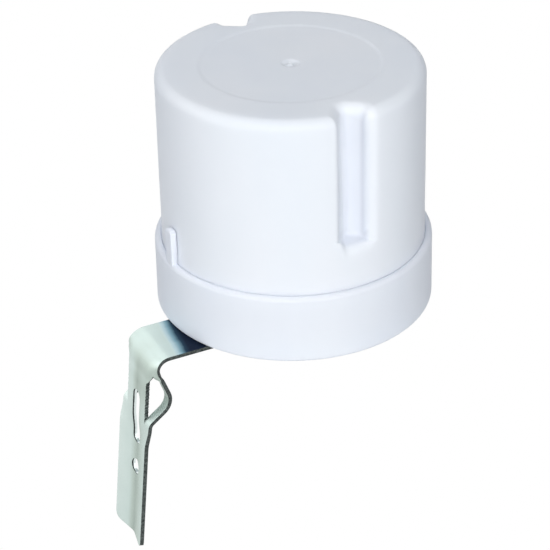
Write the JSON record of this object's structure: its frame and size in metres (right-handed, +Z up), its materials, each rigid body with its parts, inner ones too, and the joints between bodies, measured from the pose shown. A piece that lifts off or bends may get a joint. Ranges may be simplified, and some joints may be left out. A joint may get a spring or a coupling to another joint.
{
  "type": "photocell switch",
  "caption": "Dusk-to-dawn photocell switch: milky plastic cap with grip notches in a round base, on a bent steel strip bracket with a slotted leg and strap loops.",
  "frame": {"origin": "centre of the wall screw hole in the bracket's leg, on its axis inside the sheet", "axes": "+Z up along the body's axis, +X from the bracket's leg towards the body, +Y along the strip's width"},
  "size_m": [0.0875, 0.07, 0.1181],
  "materials": {
    "milky_cap": "satin moulded",
    "white_base": "satin moulded",
    "seal_rubber": "matte",
    "galvanised_sheet": "bright zinc",
    "zinc_screw": "bright zinc",
    "spring_steel": "plain",
    "laminate": "lacquered",
    "relay_case": "gloss",
    "film_case": "gloss",
    "can_sleeve": "gloss",
    "varistor_coat": "gloss",
    "black_epoxy": "matte",
    "zener_glass": "clear",
    "resistor_lacquer": "gloss",
    "fuse_lacquer": "matte",
    "disc_coat": "matte",
    "sensor_face": "gloss",
    "sleeve_plastic": "matte",
    "eyelet_brass": "bright"
  },
  "bodies": {
    "root": {"cap": "milky_cap", "base": "white_base", "cover_seal": "seal_rubber", "bracket": "galvanised_sheet", "bracket_screws": "zinc_screw", "lock_washers": "spring_steel", "wire_grommet": "seal_rubber", "circuit_board": "laminate", "board_screws": "zinc_screw", "relay": "relay_case", "film_capacitor": "film_case", "smoothing_capacitor": "can_sleeve", "varistor": "varistor_coat", "rectifier_diodes": "black_epoxy", "zener_diode": "zener_glass", "resistors": "resistor_lacquer", "fusible_resistor": "fuse_lacquer", "transistor": "black_epoxy", "ceramic_capacitor": "disc_coat", "photoresistor": "sensor_face", "lead_sleeves": "sleeve_plastic", "wire_eyelets": "eyelet_brass"}
  },
  "joints": []
}
